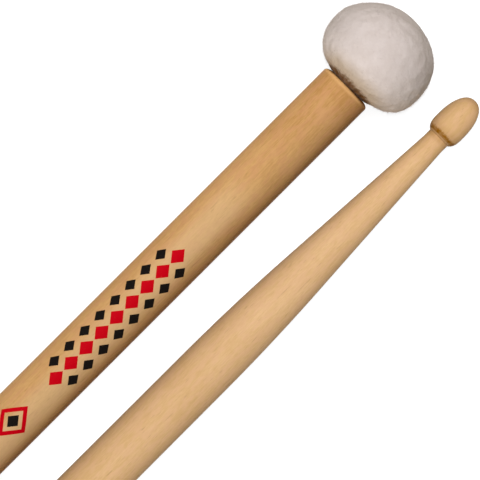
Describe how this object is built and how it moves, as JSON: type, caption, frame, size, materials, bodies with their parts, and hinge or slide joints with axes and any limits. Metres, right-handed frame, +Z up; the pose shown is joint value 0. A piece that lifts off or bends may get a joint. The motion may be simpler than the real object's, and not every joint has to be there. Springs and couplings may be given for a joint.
{
  "type": "dual tone drumstick",
  "caption": "Tapered wooden drumsticks with a bead tip at one end and a round felt mallet head on the butt, laid side by side in opposite directions.",
  "frame": {"origin": "centre of the pair's footprint, on the surface that the sticks lie on", "axes": "+X along the sticks, towards the felt head of stick a; +Y across the pair, towards stick a; +Z up"},
  "size_m": [0.433, 0.0548, 0.029],
  "materials": {
    "hickory_warm": "satin lacquered hickory, fine straight grain",
    "hickory_pale": "satin lacquered hickory, fine straight grain, a paler stick",
    "dowel_wood": "bare beech",
    "core_wood": "bare turned maple",
    "firm_felt": "dense pressed felt",
    "soft_felt": "soft off-white felt with a short nap",
    "thread": "waxed cotton thread"
  },
  "bodies": {
    "root": {"stick_a": "hickory_warm", "head_dowel_a": "dowel_wood", "head_core_a": "core_wood", "felt_wrap_a": "firm_felt", "head_cover_a": "soft_felt", "drawstring_a": "thread", "stick_b": "hickory_pale", "head_dowel_b": "dowel_wood", "head_core_b": "core_wood", "felt_wrap_b": "firm_felt", "head_cover_b": "soft_felt", "drawstring_b": "thread"}
  },
  "joints": []
}
